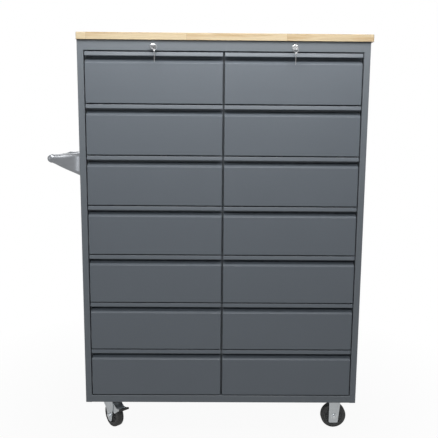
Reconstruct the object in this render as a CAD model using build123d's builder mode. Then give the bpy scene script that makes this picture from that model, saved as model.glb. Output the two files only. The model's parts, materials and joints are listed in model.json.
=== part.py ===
from build123d import *

import os
from math import cos, radians, sin

# Rolling tool cabinet: two columns of drawers under a wooden top, a push handle
# on the left side and four casters. Millimetres, +Z up, drawer fronts face -Y,
# floor at z = 0, origin under the middle of the whole cabinet.

# Body
cabinet_height = 1533.5         # floor to worktop
body_width = 1060
body_depth = 460
sheet = 1.2                     # steel of the body and of the drawer fronts
back_sheet = 1.0
bend = 1.0                      # inside radius of a folded corner
fold_round = 2.2                # outside radius of the drawer fronts' folds
stile = 23.5                    # frame beside the drawers
top_rail = 37.5
bottom_rail = 28.5
frame_return = 18               # frame edge folded in around the drawers
rear_flange = 15
partition_width = 20
partition_setback = 30
row_count = 7

# Worktop
worktop_thickness = 25
worktop_side_overhang = 5
worktop_front_overhang = 8
worktop_rear_overhang = 5
worktop_shift = 3.5             # the board sits a little to the right
worktop_corner = 5
worktop_edge = 1.5

# Drawer fronts, folded from one sheet with a finger channel along the top
front_gap = 3.5
grip_height = 39                # channel and lip above the flat face
grip_depth = 26
grip_rise = 17
lip_height = 16
lip_hem = 6
front_return = 15               # back to the inner wall that the tray is screwed to

# Drawer trays and their slides
tray_rear_room = 45             # behind the trays, for the lock bars
tray_base = 10                  # above the front's lower edge
tray_headroom = 52              # from a tray's rim to the next front's lower edge
tray_wall = 1.0
tray_hem = 2.2
tray_hem_height = 8
slide_gap = 12.7
slide_inset = 1                 # behind the tray's front edge
slide_height = 36
slide_level = 50                # slide's middle above the front's lower edge
slide_depth = 10.5
slide_lip = 5
slide_clearance = 0.3
slide_overlap = 8               # inner member's reach into the outer one
post_width = 40
post_setback = 45
post_rear_inset = 11            # rear posts ahead of the slides' ends

# Locks: plug and spindle turn a crank that lowers the hooks behind the drawers
lock_offset = 256               # from the cabinet's middle
lock_drop = 22                  # below the top of the body
barrel_radius = 9.5
barrel_length = 20
bezel_radius = 11
bezel_height = 3
plug_radius = 6
spindle_radius = 4
running_clearance = 0.05
crank_radius = 8.5
crank_gap = 4                   # ahead of the lock bar
crank_thickness = 3
crank_pin_radius = 3
crank_pin_length = 10
crank_slot_clearance = 0.35
bar_gap = 20                    # behind the trays
bar_width = 30
bar_thickness = 2
bar_tail = 12                   # bar left below its lowest guide
bar_head = 8                    # bar left above its slot
hook_width = 20
hook_sheet = 2.5
hook_inset = 10                 # inside the trays' rear edge
hook_tip = 11
hook_foot = 18
hook_lift = 3                   # hook above the tray's rim, unlocked
guide_width = 46
guide_height = 14
guide_lead = 3                  # ahead of the bar
guide_clearance = 0.35
guide_rows = (1, 4, 7)
bracket_width = 30
bracket_sheet = 2
bracket_foot = 14
bracket_gap = 8                 # ahead of the crank

# Keys
key_sheet = 2.2
key_blade_width = 7.6
key_blade_length = 22
key_slot_clearance = 0.2
key_neck_width = 9
key_neck_length = 5
key_bow_radius = 11
key_hole_radius = 3.2
key_hole_setback = 18           # from the bezel's face
spare_bow_radius = 9.5
spare_hole_setback = 4.8        # hole above the spare bow's middle
ring_radius = 9
ring_wire = 0.8
ring_sides = 16
ring_hang = 1.9                 # wire below the middle of a hole that it hangs in
ring_side = 7.1                 # ring on the level key: to the right and down
ring_drop = 5.5

# Handle on the left side
handle_reach = 136
handle_height = 1079
handle_setback = 70
handle_span = 290
handle_tip_radius = 16
handle_tip_width = 34
handle_pad_thickness = 3
handle_pad_width = 62
handle_pad_height = 108
handle_pad_corner = 10
handle_pad_drop = 21            # pad's middle below the bar
bar_radius = 12.5
bar_wall = 1.5
socket_depth = 12
# Arm sections: distance from the side, middle below the bar, height, width, bevel
arm_sections = (
    (3, 21, 98, 52, 8),
    (14, 19, 82, 38, 8),
    (50, 15, 68, 30, 8),
    (92, 6, 46, 30, 8),
    (120, 0, 28, 30, 8),
)

# Casters
caster_height = 130
wheel_radius = 50
wheel_width = 32
boss_radius = 14
boss_width = 36
axle_radius = 6
axle_head_radius = 9.5
axle_head_height = 5
plate_length = 105
plate_width = 85
plate_thickness = 3
plate_corner = 6
bolt_spacing_x = 80
bolt_spacing_y = 60
bolt_head_radius = 7.5
bolt_head_height = 5.3
fork_sheet = 3
fork_inside = 37
fork_bottom = 24
rigid_inset_side = 73
rigid_inset_front = 66
rigid_leg_left = 20             # leg's edges beside the axle
rigid_leg_right_top = 26
rigid_leg_right_bottom = 16
rigid_rib_depth = 1.2
swivel_inset_side = 76
swivel_inset_front = 92
swivel_trail = 35
swivel_angles = (-50, -38)      # front and rear caster, trail from +X
race_radius = 29
race_height = 11
race_gap = 0.3
crown_radius = 31
crown_height = 7
kingpin_radius = 6
kingpin_nut_radius = 10
kingpin_nut_height = 6
pedal_pivot = (50, 104)         # ahead of the kingpin, above the floor
pedal_pin_radius = 3
pedal_boss_radius = 6.5
pedal_width = 30
pedal_sheet = 3
pedal_reach = 118
pedal_gap = 6.2                 # shoe above the tyre
channel_width = 120
channel_sheet = 2.5
channel_flange = 25
channel_end_gap = 22

# Places that follow from the sizes
opening_base = caster_height + bottom_rail
body_base = caster_height
body_top = cabinet_height - worktop_thickness
opening_top = body_top - top_rail
row_pitch = (opening_top - opening_base - front_gap) / row_count
worktop_width = body_width + 2 * worktop_side_overhang
worktop_depth = body_depth + worktop_front_overhang + worktop_rear_overhang
front_width = body_width / 2 - stile - 2 * front_gap
front_height = row_pitch - front_gap
face_height = front_height - grip_height
column_offset = front_gap + front_width / 2
tray_width = body_width / 2 - stile - partition_width / 2 - 2 * slide_gap
tray_offset = (body_width / 2 - stile + partition_width / 2) / 2 - column_offset
tray_depth = body_depth - front_return - tray_rear_room
tray_rear = front_return + tray_depth
tray_height = row_pitch - tray_base - tray_headroom
tray_rim = tray_base + tray_height
slide_setback = front_return + slide_inset
slide_length = tray_depth
post_setbacks = (post_setback, slide_setback + slide_length - post_rear_inset - post_width)
bar_setback = tray_rear + bar_gap
crank_setback = bar_setback - crank_gap - crank_thickness
hook_setback = tray_rear - hook_inset
guide_front = bar_setback - guide_lead
bracket_setback = crank_setback - bracket_gap - bracket_sheet
key_reach = bezel_height + key_neck_length + 2 * key_bow_radius
body_x = (handle_reach - worktop_side_overhang - worktop_shift) / 2
front_y = (key_reach - body_depth - worktop_rear_overhang) / 2
left_x = body_x - body_width / 2
right_x = body_x + body_width / 2
rear_y = front_y + body_depth
back_face = rear_y - sheet - back_sheet
lock_z = body_top - lock_drop
axle_z = wheel_radius
plate_base = caster_height - plate_thickness


def front_base(row):
    # Lower edge of a drawer front, row 1 at the top.
    return opening_base + front_gap + (row_count - row) * row_pitch


def folded_strip(plane, points, thickness=sheet, radius=bend):
    # Section of folded sheet. The points run along one face of the sheet, with the
    # metal on their right, and every fold has the same inside radius.
    radii = []
    for before, here, after in zip(points, points[1:], points[2:]):
        turn = (here[0] - before[0]) * (after[1] - here[1]) - (here[1] - before[1]) * (
            after[0] - here[0]
        )
        outside = thickness if turn < 0 and radius > 0 else 0
        radii.append(radius + outside)
    with BuildSketch(plane) as section:
        with BuildLine():
            FilletPolyline(*points, radius=radii)
            offset(amount=thickness, side=Side.RIGHT, kind=Kind.INTERSECTION)
        make_face()
    return section.sketch


os.makedirs("parts", exist_ok=True)


# Side panels, each with its stile and rear flange folded on
with BuildPart() as side_panel_left:
    plain_path = (
        (left_x + stile, front_y),
        (left_x, front_y),
        (left_x, rear_y),
        (left_x + rear_flange, rear_y),
    )
    drawer_path = ((left_x + stile, front_y + frame_return),) + plain_path
    extrude(folded_strip(Plane.XY.offset(body_base), plain_path), amount=bottom_rail)
    extrude(
        folded_strip(Plane.XY.offset(opening_base), drawer_path),
        amount=opening_top - opening_base,
    )
    extrude(folded_strip(Plane.XY.offset(opening_top), plain_path), amount=top_rail)

with BuildPart() as side_panel_right:
    mirror(side_panel_left.part, about=Plane.YZ.offset(body_x))

for name, panel in (("side_panel_left", side_panel_left), ("side_panel_right", side_panel_right)):
    panel.part.label = name
    export_step(panel.part, f"parts/{name}.step")


# Back panel, held inside the rear flanges of the sides
with BuildPart() as back_panel:
    with BuildSketch(Plane.XZ.offset(-back_face)):
        with Locations((body_x, (body_base + body_top) / 2)):
            Rectangle(body_width - 2 * (sheet + bend), body_top - body_base)
    extrude(amount=-back_sheet)
back_panel.part.label = "back_panel"
export_step(back_panel.part, "parts/back_panel.step")


# Top panel: front rail, top sheet and rear flange in one, with wings behind the stiles
with BuildPart() as top_panel:
    path = (
        (front_y + frame_return, opening_top),
        (front_y, opening_top),
        (front_y, body_top),
        (back_face, body_top),
        (back_face, body_top - rear_flange),
    )
    extrude(
        folded_strip(Plane.YZ.offset(left_x + stile), path), amount=body_width - 2 * stile
    )
    wing_depth = back_face - front_y - sheet - bend
    with BuildSketch(Plane.XY.offset(body_top)):
        with Locations((body_x, back_face - wing_depth / 2)):
            Rectangle(body_width - 2 * sheet, wing_depth)
            Rectangle(body_width - 2 * stile, wing_depth, mode=Mode.SUBTRACT)
    extrude(amount=-sheet)
    with BuildSketch(Plane.XZ.offset(-front_y)):
        with Locations((body_x, lock_z)):
            with GridLocations(2 * lock_offset, 0, 2, 1):
                Circle(barrel_radius + running_clearance)
    extrude(amount=-2 * sheet, mode=Mode.SUBTRACT)
top_panel.part.label = "top_panel"
export_step(top_panel.part, "parts/top_panel.step")


# Casters' places: x and y of each plate's middle
rigid_x = right_x - rigid_inset_side
swivel_x = left_x + swivel_inset_side
rigid_places = [(rigid_x, front_y + rigid_inset_front), (rigid_x, rear_y - rigid_inset_front)]
swivel_places = [
    (swivel_x, front_y + swivel_inset_front),
    (swivel_x, rear_y - swivel_inset_front),
]
plate_places = rigid_places + swivel_places


# Base panel: bottom rail, floor sheet and rear flange
with BuildPart() as base_panel:
    path = (
        (back_face, body_base + rear_flange),
        (back_face, body_base),
        (front_y, body_base),
        (front_y, opening_base),
        (front_y + frame_return, opening_base),
    )
    extrude(
        folded_strip(Plane.YZ.offset(left_x + stile), path), amount=body_width - 2 * stile
    )
    with BuildSketch(Plane.XY.offset(body_base)):
        with Locations((body_x, back_face - wing_depth / 2)):
            Rectangle(body_width - 2 * sheet, wing_depth)
            Rectangle(body_width - 2 * stile, wing_depth, mode=Mode.SUBTRACT)
    extrude(amount=sheet)


# Channels over the casters, front to back on the floor sheet
channel_base = body_base + sheet
channel_length = back_face - front_y - 2 * channel_end_gap
with BuildPart() as base_channels:
    for middle in (swivel_x, rigid_x):
        path = (
            (middle + channel_width / 2, channel_base + channel_flange),
            (middle + channel_width / 2, channel_base),
            (middle - channel_width / 2, channel_base),
            (middle - channel_width / 2, channel_base + channel_flange),
        )
        section = folded_strip(
            Plane.XZ.offset(-front_y - channel_end_gap), path, channel_sheet, 0
        )
        extrude(section, amount=-channel_length)
base = Compound(label="base_panel", children=[base_panel.part] + list(base_channels.solids()))
export_step(base, "parts/base_panel.step")


# Partition between the two columns, a folded U that stands on the floor sheet
inner_base = body_base + sheet
inner_height = body_top - body_base - 2 * sheet
with BuildPart() as centre_partition:
    partition_rear = back_face - sheet - bend
    path = (
        (body_x + partition_width / 2, partition_rear),
        (body_x + partition_width / 2, front_y + partition_setback),
        (body_x - partition_width / 2, front_y + partition_setback),
        (body_x - partition_width / 2, partition_rear),
    )
    extrude(folded_strip(Plane.XY.offset(inner_base), path, sheet, 0), amount=inner_height)
centre_partition.part.label = "centre_partition"
export_step(centre_partition.part, "parts/centre_partition.step")


# Posts that carry the outer slides level with the stiles
with BuildPart() as left_posts:
    for setback in post_setbacks:
        near = front_y + setback
        far = near + post_width
        path = (
            (left_x + sheet, far),
            (left_x + stile, far),
            (left_x + stile, near),
            (left_x + sheet, near),
        )
        extrude(
            folded_strip(Plane.XY.offset(opening_base), path, sheet, 0),
            amount=opening_top - opening_base,
        )

with BuildPart() as runner_posts:
    add(left_posts.part)
    mirror(left_posts.part, about=Plane.YZ.offset(body_x))
runner_posts.part.label = "runner_posts"
export_step(runner_posts.part, "parts/runner_posts.step")


# Worktop board
with BuildPart() as worktop:
    worktop_middle = (
        body_x + worktop_shift,
        front_y - worktop_front_overhang + worktop_depth / 2,
    )
    with BuildSketch(Plane.XY.offset(body_top)):
        with Locations(worktop_middle):
            RectangleRounded(worktop_width, worktop_depth, worktop_corner)
    extrude(amount=worktop_thickness)
    chamfer(worktop.faces().sort_by(Axis.Z)[-1].edges(), length=worktop_edge)
worktop.part.label = "worktop"
export_step(worktop.part, "parts/worktop.step")


# One drawer front, with x = 0 at its middle, y = 0 at its face and z = 0 at its foot
with BuildPart() as drawer_front:
    crease = face_height
    path = (
        (front_return, 0),
        (0, 0),
        (0, crease),
        (grip_depth, crease + grip_rise),
        (grip_depth, front_height - sheet),
        (sheet, front_height - sheet),
        (sheet, front_height - lip_height + sheet),
        (lip_hem, front_height - lip_height + sheet),
    )
    extrude(folded_strip(Plane.YZ, path, sheet, 0), amount=front_width / 2, both=True)
    folds = drawer_front.edges().filter_by(Axis.X).filter_by_position(Axis.Y, -0.01, 0.01)
    fillet(folds.sort_by(Axis.Z)[:2], radius=fold_round)
    with BuildSketch(Plane.XZ.offset(-front_return)):
        with Locations((0, tray_rim / 2)):
            Rectangle(front_width, tray_rim)
    extrude(amount=sheet)
    slope = crease + grip_rise * (front_return - sheet) / grip_depth
    for side in (-1, 1):
        with BuildSketch(Plane.YZ.offset(side * front_width / 2)):
            with BuildLine():
                FilletPolyline(
                    (0, 0),
                    (front_return, 0),
                    (front_return, slope),
                    (0, crease),
                    radius=[fold_round, 0, 0, fold_round],
                    close=True,
                )
            make_face()
        extrude(amount=-side * sheet)


# One drawer tray with the same zero as its front
with BuildPart() as drawer_tray:
    with BuildSketch(Plane.XY.offset(tray_base)):
        with Locations((0, front_return + tray_depth / 2)):
            Rectangle(tray_width, tray_depth)
    extrude(amount=tray_height)
    offset(amount=-tray_wall, openings=drawer_tray.faces().sort_by(Axis.Z)[-1])
    with BuildSketch(Plane.XY.offset(tray_rim - tray_hem_height)):
        with Locations((0, front_return + tray_depth / 2)):
            Rectangle(tray_width, tray_depth)
            Rectangle(tray_width - 2 * tray_hem, tray_depth - 2 * tray_hem, mode=Mode.SUBTRACT)
    extrude(amount=tray_hem_height)


def slide_section(plane, wall, inner):
    # Section of a slide whose outer member is screwed to the wall at x = wall.
    # The outer member is a C with lips, and the inner one rides between the lips.
    half = slide_height / 2
    opening = half - slide_lip
    if inner:
        reach = opening - slide_clearance
        path = (
            (wall + slide_gap - slide_overlap, slide_level + reach),
            (wall + slide_gap, slide_level + reach),
            (wall + slide_gap, slide_level - reach),
            (wall + slide_gap - slide_overlap, slide_level - reach),
        )
    else:
        path = (
            (wall + slide_depth, slide_level - opening),
            (wall + slide_depth, slide_level - half),
            (wall, slide_level - half),
            (wall, slide_level + half),
            (wall + slide_depth, slide_level + half),
            (wall + slide_depth, slide_level + opening),
        )
    return folded_strip(plane, path, sheet, 0)


slide_plane = Plane.XZ.offset(-slide_setback)
slide_wall = -tray_width / 2 - slide_gap
with BuildPart() as inner_slide:
    extrude(slide_section(slide_plane, slide_wall, True), amount=-slide_length)
with BuildPart() as inner_slide_mirrored:
    mirror(inner_slide.part, about=Plane.YZ)
with BuildPart() as outer_slide:
    extrude(slide_section(slide_plane, slide_wall, False), amount=-slide_length)
with BuildPart() as outer_slides:
    add(outer_slide.part)
    mirror(outer_slide.part, about=Plane.YZ)


# Every drawer, row 1 at the top
slide_places = []
for column, direction in (("left", -1), ("right", 1)):
    for row in range(1, row_count + 1):
        front_place = (body_x + direction * column_offset, front_y, front_base(row))
        tray_place = (
            body_x + direction * (column_offset + tray_offset),
            front_y,
            front_base(row),
        )
        slide_places.append(tray_place)
        with BuildPart() as front:
            with Locations(front_place):
                add(drawer_front.part)
        front.part.label = f"drawer_{column}_{row}_front"
        export_step(front.part, f"parts/drawer_{column}_{row}_front.step")
        placed = []
        for piece in (drawer_tray, inner_slide, inner_slide_mirrored):
            with BuildPart() as one:
                with Locations(tray_place):
                    add(piece.part)
            placed.append(one.part)
        tray = Compound(label=f"drawer_{column}_{row}_tray", children=placed)
        export_step(tray, f"parts/drawer_{column}_{row}_tray.step")


# Outer slide members of all drawers
with BuildPart() as fixed_runners:
    with Locations(*slide_places):
        add(outer_slides.part)
fixed_runners.part.label = "fixed_runners"
export_step(fixed_runners.part, "parts/fixed_runners.step")


# Lock barrels in the top rail
with BuildPart() as lock_barrel:
    bore = plug_radius + running_clearance
    with BuildSketch(Plane.XY):
        with BuildLine():
            Polyline(
                (bore, -bezel_height),
                (bezel_radius, -bezel_height),
                (bezel_radius, 0),
                (barrel_radius, 0),
                (barrel_radius, barrel_length),
                (bore, barrel_length),
                close=True,
            )
        make_face()
    revolve(axis=Axis.Y)

barrels = []
for direction in (-1, 1):
    with BuildPart() as one:
        with Locations((body_x + direction * lock_offset, front_y, lock_z)):
            add(lock_barrel.part)
    barrels.append(one.part)
lock_housings = Compound(label="lock_housings", children=barrels)
export_step(lock_housings, "parts/lock_housings.step")


def key_outline(bow_radius, hole_setback):
    # Flat outline of a key that points up its sketch, with zero at the lock's face.
    neck = key_neck_length
    with BuildSketch() as outline:
        with Locations((0, -neck - bow_radius)):
            RegularPolygon(bow_radius, 8, rotation=22.5, major_radius=False)
        with Locations((0, -neck / 2 - 1)):
            Rectangle(key_neck_width, neck + 2)
        with BuildLine():
            half = key_blade_width / 2
            Polyline(
                (-half, 0),
                (-half, key_blade_length - 3),
                (0, key_blade_length),
                (half, key_blade_length - 3),
                (half, 15),
                (half - 1.5, 13),
                (half, 11),
                (half - 2, 8.5),
                (half, 6),
                (half, 0),
                close=True,
            )
        make_face()
        with Locations((0, -hole_setback)):
            RegularPolygon(key_hole_radius, 12, major_radius=False, mode=Mode.SUBTRACT)
    return outline.sketch


# Locks: plug with spindle and crank, key, ring with the spare key, bar with its hooks
pin_reach = crank_radius * cos(radians(45))
crank_travel = 2 * pin_reach
pin_slack = crank_pin_radius + crank_slot_clearance
bar_front = front_y + bar_setback
bar_top = lock_z + pin_reach + pin_slack + bar_head
bar_bottom = front_base(guide_rows[-1]) + slide_level - bar_tail
print("lock bar travel", round(crank_travel, 3))

for side_name, direction, turned in (("left", -1, 0), ("right", 1, 90)):
    lock_x = body_x + direction * lock_offset
    lock_face = front_y - bezel_height
    # The key's plane through the lock: level on the left, upright on the right.
    key_plane = Plane(
        origin=(lock_x, lock_face, lock_z),
        x_dir=(cos(radians(turned)), 0, sin(radians(turned))),
        z_dir=(-sin(radians(turned)), 0, cos(radians(turned))),
    )

    with BuildPart() as plug:
        with BuildSketch(Plane.XZ.offset(-lock_face)):
            with Locations((lock_x, lock_z)):
                Circle(plug_radius)
        extrude(amount=-(bezel_height + barrel_length))
        with BuildSketch(Plane.XZ.offset(-front_y - barrel_length)):
            with Locations((lock_x, lock_z)):
                Circle(spindle_radius)
        extrude(amount=-(crank_setback - barrel_length))
        with BuildSketch(Plane.XZ.offset(-front_y - crank_setback)):
            middle = (
                lock_x - direction * pin_reach / 2,
                lock_z + pin_reach / 2,
            )
            with Locations(Location(middle, 90 + direction * 45)):
                SlotCenterToCenter(crank_radius, 2 * (spindle_radius + 2))
        extrude(amount=-crank_thickness)
        with BuildSketch(Plane.XZ.offset(-front_y - crank_setback - crank_thickness)):
            with Locations((lock_x - direction * pin_reach, lock_z + pin_reach)):
                Circle(crank_pin_radius)
        extrude(amount=-crank_pin_length)
        slot = key_blade_length + key_slot_clearance
        with BuildSketch(key_plane):
            with Locations((0, slot / 2)):
                Rectangle(key_blade_width + 2 * key_slot_clearance, slot)
        extrude(amount=key_sheet / 2 + key_slot_clearance, both=True, mode=Mode.SUBTRACT)
    plug.part.label = f"lock_plug_{side_name}"
    export_step(plug.part, f"parts/lock_plug_{side_name}.step")

    with BuildPart() as key:
        with BuildSketch(key_plane):
            add(key_outline(key_bow_radius, key_hole_setback))
        extrude(amount=key_sheet / 2, both=True)
    key.part.label = f"lock_key_{side_name}"
    export_step(key.part, f"parts/lock_key_{side_name}.step")

    # The ring stands across the cabinet: beside the level key, below the upright one.
    ring_y = lock_face - key_hole_setback
    ring_x = lock_x + (0 if turned else ring_side)
    ring_z = lock_z - (ring_radius + ring_hang if turned else ring_drop)
    spare_z = ring_z - ring_radius - ring_hang
    with BuildPart() as ring:
        with BuildSketch(Plane.XZ.offset(-ring_y)):
            with Locations((ring_x, ring_z)):
                RegularPolygon(ring_radius + ring_wire, ring_sides)
                RegularPolygon(ring_radius - ring_wire, ring_sides, mode=Mode.SUBTRACT)
        extrude(amount=ring_wire, both=True)
    spare_hole = key_neck_length + spare_bow_radius + spare_hole_setback
    spare_plane = Plane(
        origin=(ring_x, ring_y, spare_z - spare_hole),
        x_dir=(0, 1, 0),
        z_dir=(-1, 0, 0),
    )
    with BuildPart() as spare:
        with BuildSketch(spare_plane):
            add(key_outline(spare_bow_radius, spare_hole))
        extrude(amount=key_sheet / 2, both=True)
    ring_and_spare = Compound(
        label=f"spare_key_{side_name}", children=[ring.part, spare.part]
    )
    export_step(ring_and_spare, f"parts/spare_key_{side_name}.step")

    with BuildPart() as bar:
        with BuildSketch(Plane.XZ.offset(-bar_front)):
            with Locations((lock_x, (bar_top + bar_bottom) / 2)):
                Rectangle(bar_width, bar_top - bar_bottom)
            # The pin swings out from pin_reach to crank_radius and back.
            slot_length = crank_radius - pin_reach + 2 * pin_slack
            slot_middle = (pin_reach + crank_radius) / 2
            with Locations((lock_x - direction * slot_middle, lock_z + pin_reach)):
                SlotOverall(slot_length, 2 * pin_slack, mode=Mode.SUBTRACT)
        extrude(amount=-bar_thickness)
    bar_pieces = [bar.part]
    for row in range(1, row_count + 1):
        tip = front_base(row) + tray_rim + hook_lift
        arm = tip + hook_tip + hook_sheet
        path = (
            (front_y + hook_setback, tip),
            (front_y + hook_setback, arm),
            (bar_front, arm),
            (bar_front, arm - hook_foot),
        )
        with BuildPart() as hook:
            extrude(
                folded_strip(Plane.YZ.offset(lock_x), path, hook_sheet, 0),
                amount=hook_width / 2,
                both=True,
            )
        bar_pieces.append(hook.part)
    lock_bar = Compound(label=f"lock_bar_{side_name}", children=bar_pieces)
    export_step(lock_bar, f"parts/lock_bar_{side_name}.step")


# Guide blocks on the back panel for the bars, and a bracket for each spindle's end
guide_pieces = []
guide_depth = back_face - front_y - guide_front
for direction in (-1, 1):
    lock_x = body_x + direction * lock_offset
    for row in guide_rows:
        with BuildPart() as guide:
            with BuildSketch(Plane.XY.offset(front_base(row) + slide_level)):
                with Locations((lock_x, back_face - guide_depth / 2)):
                    Rectangle(guide_width, guide_depth)
                with Locations((lock_x, bar_front + bar_thickness / 2)):
                    Rectangle(
                        bar_width + 2 * guide_clearance,
                        bar_thickness + 2 * guide_clearance,
                        mode=Mode.SUBTRACT,
                    )
            extrude(amount=guide_height)
        guide_pieces.append(guide.part)
    bracket_front = front_y + bracket_setback
    bracket_base = lock_z - spindle_radius - bracket_width / 5
    path = (
        (bracket_front, bracket_base),
        (bracket_front, body_top - sheet),
        (bracket_front + bracket_foot, body_top - sheet),
    )
    with BuildPart() as bracket:
        extrude(
            folded_strip(Plane.YZ.offset(lock_x), path, bracket_sheet, 0),
            amount=bracket_width / 2,
            both=True,
        )
        with BuildSketch(Plane.XZ.offset(-bracket_front)):
            with Locations((lock_x, lock_z)):
                Circle(spindle_radius + running_clearance)
        extrude(amount=-bracket_sheet, mode=Mode.SUBTRACT)
    guide_pieces.append(bracket.part)
lock_bar_guides = Compound(label="lock_bar_guides", children=guide_pieces)
export_step(lock_bar_guides, "parts/lock_bar_guides.step")


# Handle: two cast brackets with a tube between their sockets
with BuildPart() as near_bracket:
    middle_y = front_y + handle_setback
    bar_x = left_x - handle_reach + handle_tip_radius

    def arm_plane(reach, drop):
        # Upright plane across the arm, with its x towards the front and its y up.
        return Plane(
            origin=(left_x - reach, middle_y, handle_height - drop),
            x_dir=(0, -1, 0),
            z_dir=(-1, 0, 0),
        )

    with BuildSketch(arm_plane(0, handle_pad_drop)):
        pad = Rectangle(handle_pad_width, handle_pad_height)
        chamfer(pad.vertices(), length=handle_pad_corner)
    extrude(amount=handle_pad_thickness)
    for reach, drop, height, width, corner in arm_sections:
        with BuildSketch(arm_plane(reach, drop)) as section:
            Rectangle(width, height)
            chamfer(section.vertices(), length=corner)
    loft(ruled=True)
    with BuildSketch(Plane.XZ.offset(handle_tip_width / 2 - middle_y)):
        with Locations((bar_x, handle_height)):
            Circle(handle_tip_radius)
    extrude(amount=-handle_tip_width)
    socket_face = middle_y + handle_tip_width / 2
    with BuildSketch(Plane.XZ.offset(-socket_face)):
        with Locations((bar_x, handle_height)):
            Circle(bar_radius + running_clearance)
    extrude(amount=socket_depth, mode=Mode.SUBTRACT)

with BuildPart() as handle_brackets:
    add(near_bracket.part)
    mirror(near_bracket.part, about=Plane.XZ.offset(-middle_y - handle_span / 2))
handle_brackets.part.label = "handle_brackets"
export_step(handle_brackets.part, "parts/handle_brackets.step")

bar_length = handle_span - handle_tip_width + 2 * socket_depth
with BuildPart() as handle_bar:
    with BuildSketch(Plane.XZ.offset(socket_depth - socket_face)):
        with Locations((bar_x, handle_height)):
            Circle(bar_radius)
            Circle(bar_radius - bar_wall, mode=Mode.SUBTRACT)
    extrude(amount=-bar_length)
handle_bar.part.label = "handle_bar"
export_step(handle_bar.part, "parts/handle_bar.step")


# One wheel about its own axle, which runs along y: solid tyre and hub moulded in one
with BuildPart() as wheel_blank:
    with BuildSketch(Plane.XY):
        with BuildLine():
            Polyline(
                (axle_radius + running_clearance, boss_width / 2),
                (boss_radius, boss_width / 2),
                (boss_radius, wheel_width / 2),
                (wheel_radius, wheel_width / 2),
                (wheel_radius, -wheel_width / 2),
                (boss_radius, -wheel_width / 2),
                (boss_radius, -boss_width / 2),
                (axle_radius + running_clearance, -boss_width / 2),
                close=True,
            )
        make_face()
    revolve(axis=Axis.Y)


# One axle bolt across a fork, with its head and nut
fork_outside = fork_inside + 2 * fork_sheet
with BuildPart() as axle:
    with BuildSketch(Plane.XZ.offset(fork_outside / 2)):
        Circle(axle_radius)
    extrude(amount=-fork_outside)
    for side in (-1, 1):
        with BuildSketch(Plane.XZ.offset(side * fork_outside / 2)):
            RegularPolygon(axle_head_radius, 6)
        extrude(amount=side * axle_head_height)


# Caster plate, flat on the base panel
with BuildPart() as plate:
    with BuildSketch(Plane.XY.offset(plate_base)):
        RectangleRounded(plate_length, plate_width, plate_corner)
    extrude(amount=plate_thickness)


# Rigid fork: a U of sheet under its plate, ribbed down both legs
with BuildPart() as rigid_fork:
    leg_top = plate_base
    with BuildSketch(Plane.XZ):
        with BuildLine():
            FilletPolyline(
                (-rigid_leg_left, leg_top),
                (rigid_leg_right_top, leg_top),
                (rigid_leg_right_bottom, fork_bottom),
                (-rigid_leg_left, fork_bottom),
                radius=[0, 0, 6, 6],
                close=True,
            )
        make_face()
    extrude(amount=fork_outside / 2, both=True)
    with BuildSketch(Plane.XZ):
        with BuildLine():
            Polyline(
                (-10, leg_top - 8),
                (16, leg_top - 8),
                (5, axle_z + 14),
                (-5, axle_z + 14),
                close=True,
            )
        make_face()
    extrude(amount=fork_outside / 2 + rigid_rib_depth, both=True)
    with BuildSketch(Plane.XY):
        Rectangle(3 * rigid_leg_right_top, fork_inside)
    extrude(amount=leg_top - fork_sheet, mode=Mode.SUBTRACT)
    with BuildSketch(Plane.XZ):
        with Locations((0, axle_z)):
            Circle(axle_radius + running_clearance)
    extrude(amount=fork_outside, both=True, mode=Mode.SUBTRACT)

rigid_pieces = []
for place in rigid_places:
    for piece, level in ((plate, 0), (rigid_fork, 0), (axle, axle_z)):
        with BuildPart() as one:
            with Locations((*place, level)):
                add(piece.part)
        rigid_pieces.append(one.part)
rigid_casters = Compound(label="rigid_caster_forks", children=rigid_pieces)
export_step(rigid_casters, "parts/rigid_caster_forks.step")


# Swivel plate's underside: race, kingpin and its nut
race_base = plate_base - race_height
crown_top = race_base - race_gap
crown_base = crown_top - crown_height
nut_top = crown_base - race_gap
with BuildPart() as swivel_head:
    with BuildSketch(Plane.XZ):
        with BuildLine():
            Polyline(
                (0, plate_base),
                (race_radius, plate_base),
                (race_radius, race_base),
                (kingpin_radius, race_base),
                (kingpin_radius, nut_top),
                (0, nut_top),
                close=True,
            )
        make_face()
    revolve(axis=Axis.Z)
    with BuildSketch(Plane.XY.offset(nut_top)):
        RegularPolygon(kingpin_nut_radius, 6)
    extrude(amount=-kingpin_nut_height)

swivel_plates = []
for place in swivel_places:
    for piece in (plate, swivel_head):
        with BuildPart() as one:
            with Locations((*place, 0)):
                add(piece.part)
        swivel_plates.append(one.part)
swivel_caster_plates = Compound(label="swivel_caster_plates", children=swivel_plates)
export_step(swivel_caster_plates, "parts/swivel_caster_plates.step")


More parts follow.
